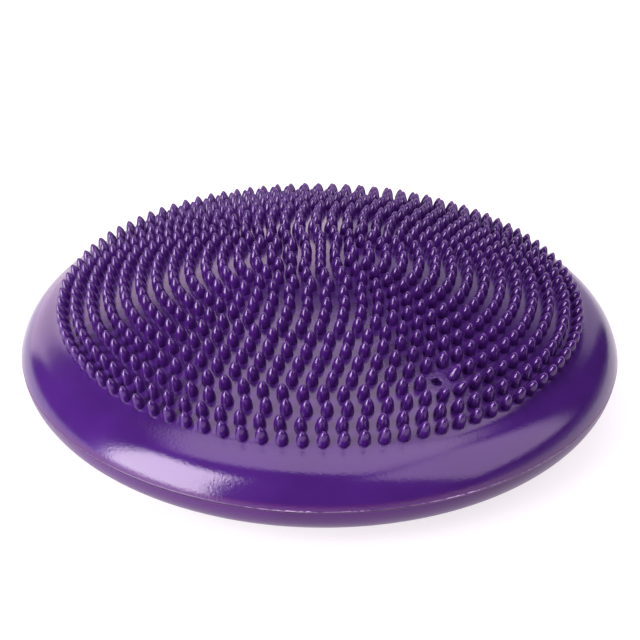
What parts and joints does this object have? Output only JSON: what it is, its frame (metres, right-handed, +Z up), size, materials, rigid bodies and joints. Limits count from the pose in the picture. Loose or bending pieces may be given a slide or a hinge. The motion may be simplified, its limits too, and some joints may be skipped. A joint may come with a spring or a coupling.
{
  "type": "balance pad",
  "caption": "Round inflated balance cushion with rings of soft pointed massage spikes on its domed top, a smooth rounded rim and a needle valve.",
  "frame": {"origin": "centre of the flat foot disc on the underside, on the floor", "axes": "+Z up along the pad's axis, -Y the front, the valve 29 degrees from the front towards +X"},
  "size_m": [0.33, 0.33, 0.0775],
  "materials": {
    "skin": "glossy purple soft PVC with a fine stipple",
    "spikes": "glossy deep purple soft PVC",
    "weld": "thin ragged weld flash of the same PVC, a little paler",
    "valve_rubber": "matt dark rubber"
  },
  "bodies": {
    "base": {"lower_shell": "skin", "stud_ring_1": "skin", "stud_ring_2": "skin", "stud_ring_3": "skin", "stud_ring_4": "skin", "stud_ring_5": "skin", "stud_ring_6": "skin"},
    "top": {"upper_shell": "skin", "rim_seam": "weld", "valve_seat": "skin", "valve_core": "valve_rubber", "centre_spike": "spikes", "spike_ring_01": "spikes", "spike_ring_02": "spikes", "spike_ring_03": "spikes", "spike_ring_04": "spikes", "spike_ring_05": "spikes", "spike_ring_06": "spikes", "spike_ring_07": "spikes", "spike_ring_08": "spikes", "spike_ring_09": "spikes", "spike_ring_10": "spikes", "spike_ring_11": "spikes", "spike_ring_12": "spikes", "spike_ring_13": "spikes", "spike_ring_14": "spikes", "spike_ring_15": "spikes", "spike_ring_16": "spikes"}
  },
  "joints": [
    {"name": "cushion_press", "type": "slide", "parent": "base", "child": "top", "axis": [0, 0, 1], "range_m": [-0.008, 0], "stiffness_N_per_m": 40000, "springref_m": 0.0002, "deforming": ["lower_shell", "stud_ring_1", "stud_ring_2", "stud_ring_3", "stud_ring_4", "stud_ring_5", "stud_ring_6"]}
  ]
}
